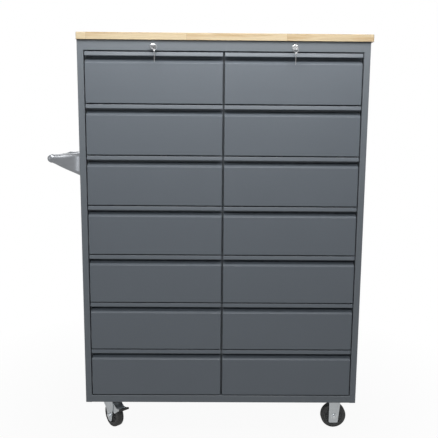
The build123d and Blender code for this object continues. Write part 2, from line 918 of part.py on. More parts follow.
# Swivel fork about its kingpin at x = y = 0, with its trail along +X
with BuildPart() as swivel_fork:
    with BuildSketch(Plane.XZ):
        with BuildLine():
            pivot_x, pivot_z = pedal_pivot
            Polyline(
                (-crown_radius, crown_base),
                (-crown_radius, crown_top),
                (pivot_x + 8, crown_top),
                (pivot_x + 10, pivot_z - 8),
                (swivel_trail + 16, axle_z - 8),
            )
            ThreePointArc(
                (swivel_trail + 16, axle_z - 8),
                (swivel_trail, fork_bottom),
                (swivel_trail - 16, axle_z - 8),
            )
            Polyline(
                (swivel_trail - 16, axle_z - 8),
                (swivel_trail - 26, axle_z + 20),
                (-crown_radius + 14, axle_z + 44),
                (-crown_radius, crown_base),
            )
        make_face()
    extrude(amount=fork_outside / 2, both=True)
    with BuildSketch(Plane.XY):
        Rectangle(2 * pedal_reach, fork_inside)
    extrude(amount=crown_base, mode=Mode.SUBTRACT)
    # Ahead of the crown the top is open, so that the pedal can rise and fall.
    with BuildSketch(Plane.XY.offset(crown_base)):
        with Locations((crown_radius + pedal_reach / 2, 0)):
            Rectangle(pedal_reach, fork_inside)
    extrude(amount=crown_height, mode=Mode.SUBTRACT)
    with BuildSketch(Plane.XY.offset(crown_base)):
        Circle(kingpin_radius + running_clearance)
    extrude(amount=crown_height, mode=Mode.SUBTRACT)
    with BuildSketch(Plane.XZ):
        with Locations((swivel_trail, axle_z)):
            Circle(axle_radius + running_clearance)
    extrude(amount=fork_outside, both=True, mode=Mode.SUBTRACT)

with BuildPart() as pedal_pin:
    with BuildSketch(Plane.XZ):
        with Locations(pedal_pivot):
            Circle(pedal_pin_radius)
    extrude(amount=fork_inside / 2, both=True)

# Brake pedal: a boss on the pin, a shoe over the tyre and a tongue to step on
with BuildPart() as pedal:
    shoe_radius = wheel_radius + pedal_gap
    with BuildSketch(Plane.XZ):
        with BuildLine():
            Polyline(
                (pivot_x, pivot_z - 2),
                (pivot_x + 14, pivot_z - 6.5),
                (pivot_x + 30, pivot_z - 16),
                (pivot_x + 45, pivot_z - 15),
                (pedal_reach, pivot_z - 6),
                (pedal_reach - 1, pivot_z - 6 + pedal_sheet),
                (pivot_x + 44, pivot_z - 15 + pedal_sheet),
                (pivot_x + 30, pivot_z - 15 + pedal_sheet),
                (pivot_x + 14, pivot_z - 2),
                (pivot_x, pivot_z + 2),
                close=True,
            )
        make_face()
        with Locations(pedal_pivot):
            Circle(pedal_boss_radius)
        with Locations((swivel_trail, axle_z)):
            Circle(shoe_radius, mode=Mode.SUBTRACT)
        with Locations(pedal_pivot):
            Circle(pedal_pin_radius + running_clearance, mode=Mode.SUBTRACT)
    extrude(amount=pedal_width / 2, both=True)

for end, place, angle in zip(("front", "rear"), swivel_places, swivel_angles):
    kingpin = Location((*place, 0), (0, 0, angle))
    fork_pieces = []
    for piece, shift in (
        (swivel_fork, (0, 0, 0)),
        (pedal_pin, (0, 0, 0)),
        (axle, (swivel_trail, 0, axle_z)),
    ):
        with BuildPart() as one:
            with Locations(kingpin * Location(shift)):
                add(piece.part)
        fork_pieces.append(one.part)
    fork = Compound(label=f"swivel_fork_{end}", children=fork_pieces)
    export_step(fork, f"parts/swivel_fork_{end}.step")
    with BuildPart() as brake:
        with Locations(kingpin):
            add(pedal.part)
    brake.part.label = f"brake_pedal_{end}"
    export_step(brake.part, f"parts/brake_pedal_{end}.step")


# Wheels: two on the swivel forks, two on the rigid ones
wheel_places = {
    "front_left": Location((*swivel_places[0], 0), (0, 0, swivel_angles[0]))
    * Location((swivel_trail, 0, axle_z)),
    "rear_left": Location((*swivel_places[1], 0), (0, 0, swivel_angles[1]))
    * Location((swivel_trail, 0, axle_z)),
    "front_right": Location((*rigid_places[0], axle_z)),
    "rear_right": Location((*rigid_places[1], axle_z)),
}
for corner, place in wheel_places.items():
    with BuildPart() as wheel:
        with Locations(place):
            add(wheel_blank.part)
    wheel.part.label = f"wheel_{corner}"
    export_step(wheel.part, f"parts/wheel_{corner}.step")


# Bolt heads under the caster plates
with BuildPart() as caster_bolts:
    with BuildSketch(Plane.XY.offset(plate_base)):
        for place in plate_places:
            with Locations(place):
                with GridLocations(bolt_spacing_x, bolt_spacing_y, 2, 2):
                    RegularPolygon(bolt_head_radius, 6)
    extrude(amount=-bolt_head_height)
caster_bolts.part.label = "caster_bolts"
export_step(caster_bolts.part, "parts/caster_bolts.step")
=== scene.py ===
import bpy
import bmesh
import json
import math
from mathutils import Matrix, Vector


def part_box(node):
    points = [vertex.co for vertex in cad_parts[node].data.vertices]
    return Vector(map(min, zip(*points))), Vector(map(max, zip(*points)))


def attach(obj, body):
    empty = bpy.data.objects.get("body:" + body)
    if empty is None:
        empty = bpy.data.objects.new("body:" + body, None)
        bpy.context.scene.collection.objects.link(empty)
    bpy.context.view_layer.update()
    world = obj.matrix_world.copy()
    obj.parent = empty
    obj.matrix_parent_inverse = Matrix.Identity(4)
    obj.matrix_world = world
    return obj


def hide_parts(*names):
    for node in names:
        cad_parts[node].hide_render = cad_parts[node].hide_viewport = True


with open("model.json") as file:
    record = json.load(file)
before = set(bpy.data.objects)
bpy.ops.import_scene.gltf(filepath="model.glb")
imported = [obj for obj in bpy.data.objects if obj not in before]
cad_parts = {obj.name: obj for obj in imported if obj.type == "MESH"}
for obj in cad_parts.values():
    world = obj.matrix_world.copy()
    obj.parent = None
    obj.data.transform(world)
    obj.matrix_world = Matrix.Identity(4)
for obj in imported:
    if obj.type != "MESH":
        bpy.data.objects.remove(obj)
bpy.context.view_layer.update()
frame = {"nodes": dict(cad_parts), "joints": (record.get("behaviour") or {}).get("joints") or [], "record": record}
nodes = frame["nodes"]
joints = {joint["name"]: joint for joint in frame["joints"]}
scene = bpy.context.scene
wheelCorners = ("front_left", "rear_left", "front_right", "rear_right")
print("frame loaded with", len(nodes), "nodes")


# Small helpers for nodes

def addNode(tree, kind, sockets=None, **settings):
    node = tree.nodes.new(kind)
    for key, value in settings.items():
        setattr(node, key, value)
    for key, value in (sockets or {}).items():
        if isinstance(value, bpy.types.NodeSocket):
            tree.links.new(value, node.inputs[key])
        else:
            node.inputs[key].default_value = value
    return node


def calc(tree, operation, a, b=0.0, clamp=False):
    return addNode(tree, "ShaderNodeMath", {0: a, 1: b}, operation=operation, use_clamp=clamp).outputs[0]


def scaled(tree, value, factor):
    return calc(tree, "MULTIPLY", value, factor)


def centred(tree, value):
    # a noise between 0 and 1, moved to lie around zero
    return calc(tree, "SUBTRACT", value, 0.5)


def noise(tree, place, scale, detail):
    sockets = {"Vector": place, "Scale": scale, "Detail": detail}
    return addNode(tree, "ShaderNodeTexNoise", sockets).outputs["Fac"]


def blendColors(tree, factor, a, b):
    # the mix node's color sockets are 6 and 7 going in, and 2 coming out
    mix = addNode(tree, "ShaderNodeMix", {"Factor": factor}, data_type="RGBA")
    for socket, value in ((mix.inputs[6], a), (mix.inputs[7], b)):
        if isinstance(value, bpy.types.NodeSocket):
            tree.links.new(value, socket)
        else:
            socket.default_value = value
    return mix.outputs[2]


def brightened(tree, color, value):
    return addNode(tree, "ShaderNodeHueSaturation", {"Color": color, "Value": value}).outputs[0]


def stretched(tree, scale, place=None):
    # object coordinates or the given ones, pulled out along the axes with a small scale
    if place is None:
        place = addNode(tree, "ShaderNodeTexCoord").outputs["Object"]
    return addNode(tree, "ShaderNodeMapping", {"Vector": place, "Scale": scale}).outputs[0]


def startGroup(name, inputs):
    group = bpy.data.node_groups.new(name, "ShaderNodeTree")
    kinds = {"color": "NodeSocketColor", "value": "NodeSocketFloat"}
    for label, kind, value in inputs:
        socket = group.interface.new_socket(label, in_out="INPUT", socket_type=kinds[kind])
        socket.default_value = value
    for label, kind in (("Color", "color"), ("Roughness", "value"), ("Height", "value")):
        group.interface.new_socket(label, in_out="OUTPUT", socket_type=kinds[kind])
    return group, group.nodes.new("NodeGroupInput"), group.nodes.new("NodeGroupOutput")


def finishGroup(group, end, color, roughness, height):
    for label, socket in (("Color", color), ("Roughness", roughness), ("Height", height)):
        group.links.new(socket, end.inputs[label])
    return group


# Small helpers for meshes

smoothAngle = math.radians(38)  # edges sharper than this stay sharp
tipRadius = 0.0001  # where a turned profile ends on its axis


def placedPiece(name, mesh, body):
    piece = bpy.data.objects.new(name, mesh)
    scene.collection.objects.link(piece)
    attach(piece, body)
    return piece


def meshPiece(name, verts, faces, material, body, slot, smooth=True):
    mesh = bpy.data.meshes.new(name)
    mesh.from_pydata([tuple(v) for v in verts], [], faces)
    mesh.materials.append(material)
    bm = bmesh.new()
    bm.from_mesh(mesh)
    bmesh.ops.recalc_face_normals(bm, faces=bm.faces)
    for edge in bm.edges:
        edge.smooth = len(edge.link_faces) < 2 or edge.calc_face_angle(0) < smoothAngle
    for face in bm.faces:
        face.smooth = smooth
    bm.to_mesh(mesh)
    bm.free()
    return placedPiece(name, mesh, body)


def bridged(rings, count, loop=False, closed=True):
    # faces between rows of points, loop joins the last row to the first one
    faces = []
    for r in range(rings if loop else rings - 1):
        here, there = r * count, (r + 1) % rings * count
        for i in range(count if closed else count - 1):
            j = (i + 1) % count
            faces.append((here + i, here + j, there + j, there + i))
    return faces


def capped(rings, count):
    # the same with a face over each end
    last = (rings - 1) * count
    return bridged(rings, count) + [tuple(range(count)), tuple(last + i for i in range(count))]


def lathe(profile, place, steps):
    # profile of (radius, distance along y), turned about the local y axis
    verts = []
    for i in range(steps):
        turn = 2 * math.pi * i / steps
        for radius, along in profile:
            verts.append(place @ Vector((radius * math.cos(turn), along, radius * math.sin(turn))))
    return verts, bridged(steps, len(profile), loop=True, closed=False)


def mirrored(half):
    # half of a profile, followed by its mirror image
    return half + [(radius, -along) for radius, along in reversed(half)]


def joined(parts):
    verts, faces = [], []
    for someVerts, someFaces in parts:
        start = len(verts)
        verts += someVerts
        faces += [tuple(start + i for i in face) for face in someFaces]
    return verts, faces


def prism(outline, thickness, place, bevel):
    # flat outline in local x, y, with both rims bevelled
    verts = []
    count = len(outline)
    middle = Vector((sum(p[0] for p in outline) / count, sum(p[1] for p in outline) / count))
    half = thickness / 2
    levels = ((-half, bevel), (bevel - half, 0), (half - bevel, 0), (half, bevel))
    for level, inset in levels:
        for x, y in outline:
            inward = (middle - Vector((x, y))).normalized() * inset
            verts.append(place @ Vector((x + inward.x, y + inward.y, level)))
    return verts, capped(len(levels), count)


def frustum(foot, crest, rise, place):
    verts = [place @ Vector((x, y, 0)) for x, y in foot]
    verts += [place @ Vector((x, y, rise)) for x, y in crest]
    return verts, capped(2, len(foot))


def framePlace(origin, xDir, yDir):
    # local x and y along the two directions
    xDir, yDir = Vector(xDir), Vector(yDir)
    turn = Matrix((xDir, yDir, xDir.cross(yDir))).transposed().to_4x4()
    return Matrix.Translation(Vector(origin)) @ turn


def jointPlace(joint):
    # local y along the joint's axis, origin at its place
    axis = Vector(joint["axis"]).normalized()
    turn = math.atan2(-axis.x, axis.y)
    return Matrix.Translation(Vector(joint["pos_m"])) @ Matrix.Rotation(turn, 4, "Z")


def middleOf(node):
    low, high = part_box(node)
    return (low + high) / 2


def hexReach(radius, turn):
    # distance from a hexagon's middle to its side in the direction of turn
    sixth = math.pi / 3
    return radius * math.cos(sixth / 2) / math.cos(turn % sixth - sixth / 2)


# Effects that several materials share

# powder coat: fine orange peel, slow drift in tone, faint dust
coatLook = {"peelScale": 700, "driftScale": 5, "driftRoughness": 0.06, "dustScale": 120, "dustTone": 0.04}


def paintEffect():
    look = coatLook
    group, start, end = startGroup("powderCoat", [
        ("Color", "color", (0.2, 0.2, 0.2, 1)), ("Roughness", "value", 0.4), ("Drift", "value", 0.06)])
    place = stretched(group, (1, 1, 1))
    peel = noise(group, place, look["peelScale"], detail=2)
    drift = noise(group, place, look["driftScale"], detail=3)
    dust = noise(group, place, look["dustScale"], detail=4)
    tone = scaled(group, centred(group, drift), start.outputs["Drift"])
    tone = calc(group, "ADD", tone, scaled(group, centred(group, dust), look["dustTone"]))
    color = brightened(group, start.outputs["Color"], calc(group, "ADD", tone, 1.0))
    rough = calc(group, "ADD", start.outputs["Roughness"], scaled(group, drift, look["driftRoughness"]))
    return finishGroup(group, end, color, rough, peel)


# drawn or cast metal: streaks along one axis and a little staining
metalLook = {
    "streakStretch": (60, 900, 900), "base": 0.94,
    "stainScale": 55, "stainTone": 0.12, "stainRoughness": 0.12, "stainRelief": 0.6,
}


def metalEffect():
    look = metalLook
    group, start, end = startGroup("metalSkin", [
        ("Color", "color", (0.6, 0.6, 0.6, 1)), ("Roughness", "value", 0.3), ("Streaks", "value", 0.3)])
    streaks = noise(group, stretched(group, look["streakStretch"]), scale=1, detail=3)
    stains = noise(group, stretched(group, (1, 1, 1)), look["stainScale"], detail=5)
    grain = scaled(group, centred(group, streaks), start.outputs["Streaks"])
    value = calc(group, "ADD", grain, look["base"])
    value = calc(group, "ADD", value, scaled(group, stains, look["stainTone"]))
    color = brightened(group, start.outputs["Color"], value)
    rough = calc(group, "ADD", start.outputs["Roughness"], scaled(group, stains, look["stainRoughness"]))
    height = calc(group, "ADD", streaks, scaled(group, stains, look["stainRelief"]))
    return finishGroup(group, end, color, rough, height)


# edge-glued boards: staves along x with their own tone, rings, fibres, pores and glue lines
boardLook = {
    "shift": (7.0, 7.0, 7.0),  # moves the grain from stave to stave
    "ringStretch": (0.5, 9.0, 14.0), "ringScale": 9.0, "ringBend": 3.5, "ringBendScale": 1.2,
    "fibreStretch": (26.0, 700.0, 700.0), "fibreRoughness": 0.14, "smoothest": 0.3,
    "figureStretch": (5.0, 26.0, 70.0), "figureLow": 0.46, "figureHigh": 0.64,
    # how much each of them darkens the wood, and how much all of it is made lighter
    "staveShare": 0.34, "ringShare": 0.28, "figureShare": 0.42, "fibreShare": 0.18, "lighter": 0.12,
    "poreStretch": (60.0, 1100.0, 1100.0), "poreSize": 0.16,
    "poreShare": 0.25, "poreColor": (0.25, 0.13, 0.05, 1),
    "glueWidth": 0.0003, "glueShare": 0.5, "glueDepth": 1.5, "glueColor": (0.16, 0.08, 0.03, 1),
}


def woodEffect():
    look = boardLook
    group, start, end = startGroup("gluedBoards", [
        ("Light", "color", (0.9, 0.7, 0.4, 1)), ("Dark", "color", (0.7, 0.45, 0.2, 1)),
        ("StaveWidth", "value", 0.043), ("StaveLength", "value", 0.36)])
    width, length = start.outputs["StaveWidth"], start.outputs["StaveLength"]
    # row and column number every stave
    rowShift, columnShift = 2.0, 9.0  # keep both numbers above zero
    place = addNode(group, "ShaderNodeTexCoord").outputs["Object"]
    axes = addNode(group, "ShaderNodeSeparateXYZ", {"Vector": place})
    across = calc(group, "DIVIDE", calc(group, "ADD", axes.outputs["Y"], rowShift), width)
    row = calc(group, "FLOOR", across)
    rowRandom = addNode(group, "ShaderNodeTexWhiteNoise", {"W": row}, noise_dimensions="1D").outputs["Value"]
    along = calc(group, "ADD", calc(group, "DIVIDE", axes.outputs["X"], length), rowRandom)
    column = calc(group, "FLOOR", calc(group, "ADD", along, columnShift))
    cell = addNode(group, "ShaderNodeCombineXYZ", {"X": row, "Y": column, "Z": 0.0}).outputs[0]
    tone = addNode(group, "ShaderNodeTexWhiteNoise", {"Vector": cell}, noise_dimensions="3D")
    shift = addNode(group, "ShaderNodeVectorMath", {0: tone.outputs["Color"], 1: look["shift"]},
                    operation="MULTIPLY").outputs[0]
    local = addNode(group, "ShaderNodeVectorMath", {0: place, 1: shift}, operation="ADD").outputs[0]
    rings = addNode(group, "ShaderNodeTexWave", {
        "Vector": stretched(group, look["ringStretch"], local), "Scale": look["ringScale"],
        "Distortion": look["ringBend"], "Detail": 3.0, "Detail Scale": look["ringBendScale"],
    }, wave_type="BANDS", bands_direction="DIAGONAL").outputs["Fac"]
    fibres = noise(group, stretched(group, look["fibreStretch"], local), scale=1.0, detail=4.0)
    porePlace = stretched(group, look["poreStretch"], local)
    pores = addNode(group, "ShaderNodeTexVoronoi", {"Vector": porePlace, "Scale": 1.0}).outputs["Distance"]
    poreMask = calc(group, "LESS_THAN", pores, look["poreSize"])
    # broad figure along each stave, so that some stretches are pale and some are golden
    figure = noise(group, stretched(group, look["figureStretch"], local), scale=1.0, detail=3.0)
    figureMask = addNode(group, "ShaderNodeMapRange", {
        "Value": figure, "From Min": look["figureLow"], "From Max": look["figureHigh"]}).outputs[0]
    amount = scaled(group, tone.outputs["Value"], look["staveShare"])
    amount = calc(group, "ADD", amount, scaled(group, rings, look["ringShare"]))
    amount = calc(group, "ADD", amount, scaled(group, figureMask, look["figureShare"]))
    amount = calc(group, "ADD", amount, scaled(group, fibres, look["fibreShare"]))
    amount = calc(group, "SUBTRACT", amount, look["lighter"], clamp=True)
    color = blendColors(group, amount, start.outputs["Light"], start.outputs["Dark"])
    # glue lines between the rows and butt joints between the pieces of a row
    rowGap = scaled(group, calc(group, "PINGPONG", across, 0.5), width)  # to the nearest whole number
    endGap = scaled(group, calc(group, "PINGPONG", along, 0.5), length)
    glue = calc(group, "LESS_THAN", calc(group, "MINIMUM", rowGap, endGap), look["glueWidth"])
    color = blendColors(group, scaled(group, glue, look["glueShare"]), color, look["glueColor"])
    color = blendColors(group, scaled(group, poreMask, look["poreShare"]), color, look["poreColor"])
    rough = calc(group, "ADD", scaled(group, fibres, look["fibreRoughness"]), look["smoothest"])
    height = calc(group, "SUBTRACT", fibres, scaled(group, glue, look["glueDepth"]))
    return finishGroup(group, end, color, rough, height)


# moulded rubber or plastic: fine grit and dust from the floor
mouldedLook = {"gritScale": 900, "dustScale": 70, "dustGain": 1.6, "dustRoughness": 0.6}


def mouldedEffect():
    look = mouldedLook
    group, start, end = startGroup("mouldedSkin", [
        ("Color", "color", (0.05, 0.05, 0.05, 1)), ("Dust", "color", (0.3, 0.29, 0.27, 1)),
        ("DustAmount", "value", 0.15), ("Roughness", "value", 0.55)])
    place = stretched(group, (1, 1, 1))
    grit = noise(group, place, look["gritScale"], detail=3)
    dust = noise(group, place, look["dustScale"], detail=5)
    dust = scaled(group, dust, start.outputs["DustAmount"])
    mask = calc(group, "MULTIPLY", dust, look["dustGain"], clamp=True)
    color = blendColors(group, mask, start.outputs["Color"], start.outputs["Dust"])
    dull = scaled(group, mask, look["dustRoughness"])
    rough = calc(group, "ADD", start.outputs["Roughness"], dull, clamp=True)
    return finishGroup(group, end, color, rough, grit)


effects = {"paint": paintEffect(), "metal": metalEffect(), "wood": woodEffect(), "moulded": mouldedEffect()}
print("shader groups built:", len(effects))


# One material for every finish on the cabinet

def newMaterial(name, effect, bump, metallic=0.0, coat=0.0, coatRoughness=0.1, **values):
    # bump is the depth of the relief, and values go to the effect's sockets
    material = bpy.data.materials.new(name)
    material.use_nodes = True
    tree = material.node_tree
    shader = tree.nodes["Principled BSDF"]
    look = addNode(tree, "ShaderNodeGroup", node_tree=effects[effect])
    for key, value in values.items():
        look.inputs[key].default_value = value
    relief = addNode(tree, "ShaderNodeBump", {
        "Height": look.outputs["Height"], "Strength": 1.0, "Distance": bump}).outputs[0]
    tree.links.new(look.outputs["Color"], shader.inputs["Base Color"])
    tree.links.new(look.outputs["Roughness"], shader.inputs["Roughness"])
    tree.links.new(relief, shader.inputs["Normal"])
    shader.inputs["Metallic"].default_value = metallic
    shader.inputs["Coat Weight"].default_value = coat
    shader.inputs["Coat Roughness"].default_value = coatRoughness
    return material


finishes = {
    "body_paint": newMaterial("bodyPaint", "paint", bump=0.00002, coat=0.15,
                              Color=(0.182, 0.204, 0.228, 1), Roughness=0.36),
    "drawer_paint": newMaterial("drawerPaint", "paint", bump=0.00002, coat=0.2,
                                Color=(0.163, 0.186, 0.214, 1), Roughness=0.34),
    "tray_paint": newMaterial("trayPaint", "paint", bump=0.00002,
                              Color=(0.15, 0.172, 0.195, 1), Roughness=0.42),
    "worktop_wood": newMaterial("worktopWood", "wood", bump=0.00005, coat=0.25,
                                Light=(0.765, 0.64, 0.43, 1), Dark=(0.49, 0.31, 0.135, 1)),
    "zinc_steel": newMaterial("zincSteel", "metal", bump=0.00002, metallic=1.0,
                              Color=(0.7, 0.73, 0.75, 1), Roughness=0.24, Streaks=0.2),
    "lock_chrome": newMaterial("lockChrome", "metal", bump=0.000004, metallic=1.0,
                               Color=(0.8, 0.81, 0.82, 1), Roughness=0.1, Streaks=0.04),
    "key_steel": newMaterial("keySteel", "metal", bump=0.000006, metallic=1.0,
                             Color=(0.66, 0.66, 0.67, 1), Roughness=0.26, Streaks=0.12),
    "guide_nylon": newMaterial("guideNylon", "moulded", bump=0.00001,
                               Color=(0.72, 0.72, 0.7, 1), DustAmount=0.05, Roughness=0.45),
    "handle_casting": newMaterial("handleCasting", "metal", bump=0.000004, metallic=1.0,
                                  Color=(0.41, 0.425, 0.45, 1), Roughness=0.27, Streaks=0.03),
    "handle_tube": newMaterial("handleTube", "metal", bump=0.00001, metallic=0.8,
                               Color=(0.64, 0.66, 0.68, 1), Roughness=0.28, Streaks=0.08),
    "wheel_tyre": newMaterial("wheelTyre", "moulded", bump=0.00003,
                              Color=(0.045, 0.046, 0.048, 1), DustAmount=0.3, Roughness=0.5),
}
# for hubs, axle nuts and pedal tips, which aren't nodes of their own
hubPlastic = newMaterial("hubPlastic", "moulded", bump=0.00002,
                         Color=(0.12, 0.122, 0.125, 1), DustAmount=0.2, Roughness=0.4)
brightSteel = newMaterial("brightSteel", "metal", bump=0.000004, metallic=1.0,
                          Color=(0.84, 0.86, 0.88, 1), Roughness=0.07, Streaks=0.03)
pedalRubber = newMaterial("pedalRubber", "moulded", bump=0.00003,
                          Color=(0.02, 0.02, 0.022, 1), DustAmount=0.05, Roughness=0.6)

for subpart in frame["record"]["subparts"]:
    for holder in nodes[subpart["node"]].material_slots:
        holder.material = finishes[subpart["material_slot"]]
print("materials placed:", len(finishes))


# Drawer fronts: one folded sheet each, with a round bend at every fold

frontLook = {
    "rows": 7, "sheet": 0.0012, "bend": 0.0016, "bendSteps": 5,
    "support": 0.0004,  # flat strip beside each bend
    "grip": 0.039, "slopeDepth": 0.026, "slopeRise": 0.017,
    "turnedShare": 0.7,  # the ends turn back up to this share of the slope
    "lip": 0.0155, "lean": 0.002, "hem": 0.006,
    "back": 0.015, "rimDrop": 0.0485,  # inner wall, behind the face and below the lip's top
    "wallInset": 0.0002, "plateInset": 0.00002,
}


def roundedPath(points, radius, support, steps):
    # open path with an arc at each corner and a point on the flat beside every arc
    path = [Vector(points[0])]
    for before, here, after in zip(points, points[1:], points[2:]):
        corner = Vector(here)
        into, out = (Vector(before) - corner).normalized(), (Vector(after) - corner).normalized()
        half = into.angle(out) / 2
        reach = radius / math.tan(half)
        centre = corner + (into + out).normalized() * radius / math.sin(half)
        first, last = corner + into * reach - centre, corner + out * reach - centre
        path.append(corner + into * (reach + support))
        for k in range(steps + 1):
            path.append(centre + first.slerp(last, k / steps) * radius)
        path.append(corner + out * (reach + support))
    return path + [Vector(points[-1])]


def sheetSection(path, sheet):
    # closed outline of a sheet whose middle follows the path
    left, right = [], []
    for i, point in enumerate(path):
        along = (path[min(i + 1, len(path) - 1)] - path[max(i - 1, 0)]).normalized()
        side = Vector((-along.y, along.x)) * sheet / 2
        left.append(point + side)
        right.append(point - side)
    return left + right[::-1]


def buildFront(name):
    look = frontLook
    low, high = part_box(f"{name}_front")
    sheet, back, inset, steps = look["sheet"], look["back"], look["wallInset"], look["bendSteps"]
    half, edge = sheet / 2, look["bend"] + sheet / 2
    height = high.z - low.z
    crease = height - look["grip"]
    tilt = look["slopeRise"] / look["slopeDepth"]
    channel = look["slopeDepth"] + half
    hemHeight = height - look["lip"] + half

    def slopeMiddle(y):
        return crease + y * tilt - half * math.hypot(1, tilt)

    path = [(back, half), (half, half), (half, slopeMiddle(half)), (channel, slopeMiddle(channel)),
            (channel, height - half), (half + look["lean"], height - half), (half, hemHeight),
            (look["hem"], hemHeight)]
    section = sheetSection(roundedPath(path, look["bend"], look["support"], steps), sheet)
    # the face turns back over a round edge at both ends, the lip and the channel run straight
    stations = []
    for k in range(steps + 1):
        turn = math.radians(90 * k / steps)
        stations.append((edge * (1 - math.cos(turn)), 1 - math.sin(turn)))
    stations.append((edge + look["support"], 0))
    ends = [(low.x + along, share) for along, share in stations]
    ends += [(high.x - along, share) for along, share in reversed(stations)]
    verts = []
    for x, share in ends:
        for y, z in section:
            turned = z < crease + look["slopeRise"] * look["turnedShare"]
            depth = max(0, 1 - max(y, 0) / back) if turned else 0
            verts.append(Vector((x, low.y + y + share * edge * depth, low.z + z)))
    parts = [(verts, capped(len(ends), len(section)))]
    # side returns and the inner wall that the tray is screwed to
    side = [(edge, inset), (back, inset)]
    side += [(y, crease + y * tilt - sheet) for y in (back, edge)]
    for x in (low.x + half + look["plateInset"], high.x - half - look["plateInset"]):
        parts.append(prism(side, sheet, framePlace((x, low.y, low.z), (0, 1, 0), (0, 0, 1)), 0))
    rim = height - look["rimDrop"]
    wall = [(low.x + inset, inset), (high.x - inset, inset), (high.x - inset, rim), (low.x + inset, rim)]
    parts.append(frustum(wall, wall, sheet, framePlace((0, low.y + back, low.z), (1, 0, 0), (0, 0, 1))))
    piece = meshPiece(f"{name}_foldedFront", *joined(parts), finishes["drawer_paint"], name, "drawer_paint")
    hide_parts(f"{name}_front")


for side in ("left", "right"):
    for row in range(1, frontLook["rows"] + 1):
        buildFront(f"drawer_{side}_{row}")
print("drawer fronts built")


# Wheels: rounded tyre on a ribbed hub

wheelLook = {
    # halves of the profiles, radius and distance from the wheel's middle
    "tyre": [(0.037, 0.013), (0.039, 0.0148), (0.044, 0.016), (0.047, 0.0148), (0.0488, 0.0125),
             (0.0498, 0.009), (0.05, 0.0055)],
    "hub": [(0.0062, 0.0178), (0.0115, 0.0178), (0.0125, 0.0168), (0.014, 0.007), (0.0155, 0.006),
            (0.031, 0.006), (0.033, 0.0075), (0.0338, 0.013), (0.0346, 0.0138), (0.037, 0.0138)],
    "rib": [(0.013, 0.0165), (0.034, 0.0115), (0.034, 0.005), (0.013, 0.005)],
    "ribs": 10, "ribHalf": 0.0011, "tyreSteps": 96, "hubSteps": 72,
}


def buildWheel(corner):
    look = wheelLook
    place = jointPlace(joints[f"wheel_{corner}_spin"])
    tyre = meshPiece(f"tyre_{corner}", *lathe(mirrored(look["tyre"]), place, look["tyreSteps"]),
                     finishes["wheel_tyre"], f"wheel_{corner}", "wheel_tyre")
    parts = [lathe(mirrored(look["hub"]), place, look["hubSteps"])]
    ribFaces = [(0, 1, 3, 2), (2, 3, 5, 4), (4, 5, 7, 6), (6, 7, 1, 0), (0, 2, 4, 6), (1, 3, 5, 7)]
    for i in range(look["ribs"]):
        turn = Matrix.Rotation(2 * math.pi * i / look["ribs"], 4, "Y")
        for way in (1, -1):
            corners = [(r, way * y, w) for r, y in look["rib"] for w in (-look["ribHalf"], look["ribHalf"])]
            parts.append(([place @ turn @ Vector(point) for point in corners], ribFaces))
    hub = meshPiece(f"hub_{corner}", *joined(parts), hubPlastic, f"wheel_{corner}", "wheel_tyre")
    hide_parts(f"wheel_{corner}")
    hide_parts(f"wheel_{corner}")


for corner in wheelCorners:
    buildWheel(corner)
print("wheels built")


# Keys: round bow with a hole and bevelled rims, cut blade

keyLook = {
    "thickness": 0.0022, "bevel": 0.0003, "neckLength": 0.005, "neckHalf": 0.0042,
    "bow": 0.011, "spareBow": 0.0095, "bowSteps": 40, "inset": 0.00025,
    "hole": 0.0032, "holeBack": 0.018, "spareHoleBack": 0.0193, "holeSteps": 24,
    # from the neck along the cut edge to the tip and back along the straight one
    "blade": [(0.0038, 0.0006), (0.0038, 0.006), (0.0022, 0.0078), (0.0034, 0.0094), (0.0026, 0.0112),
              (0.0036, 0.0128), (0.0024, 0.0146), (0.0038, 0.0166), (0.003, 0.0186), (0.0006, 0.022),
              (-0.0032, 0.021), (-0.0038, 0.0196), (-0.0038, 0.0006)],
    "ringRadius": 0.009, "wire": 0.0008, "ringSteps": 48, "wireSteps": 10,
}


def buildKey(name, bow, holeBack, place, body):
    # a filled curve, turned into a mesh
    look = keyLook
    curve = bpy.data.curves.new(name, "CURVE")
    curve.dimensions = "2D"
    curve.fill_mode = "BOTH"
    curve.bevel_depth = look["bevel"]
    curve.bevel_resolution = 2
    curve.extrude = look["thickness"] / 2 - look["bevel"]
    centre = -look["neckLength"] - bow
    spread = math.asin(look["neckHalf"] / bow)
    outline = []
    for i in range(look["bowSteps"] + 1):
        turn = math.pi / 2 + spread + (2 * math.pi - 2 * spread) * i / look["bowSteps"]
        outline.append((bow * math.cos(turn), centre + bow * math.sin(turn)))
    outline += [(look["neckHalf"], 0)] + look["blade"] + [(-look["neckHalf"], 0)]
    hole = []
    for i in range(look["holeSteps"]):
        turn = -2 * math.pi * i / look["holeSteps"]
        hole.append((look["hole"] * math.cos(turn), look["hole"] * math.sin(turn) - holeBack))
    for points in (outline, hole):
        line = curve.splines.new("POLY")
        line.points.add(len(points) - 1)
        line.use_cyclic_u = True
        for spot, (x, y) in zip(line.points, points):
            spot.co = (x * (1 - look["inset"] / bow), y, 0, 1)
    holder = bpy.data.objects.new(name + "Line", curve)
    scene.collection.objects.link(holder)
    bpy.context.view_layer.update()
    mesh = bpy.data.meshes.new_from_object(holder.evaluated_get(bpy.context.evaluated_depsgraph_get()))
    bpy.data.objects.remove(holder)
    mesh.transform(place)
    mesh.materials.clear()
    mesh.materials.append(finishes["key_steel"])
    return placedPiece(name, mesh, body)


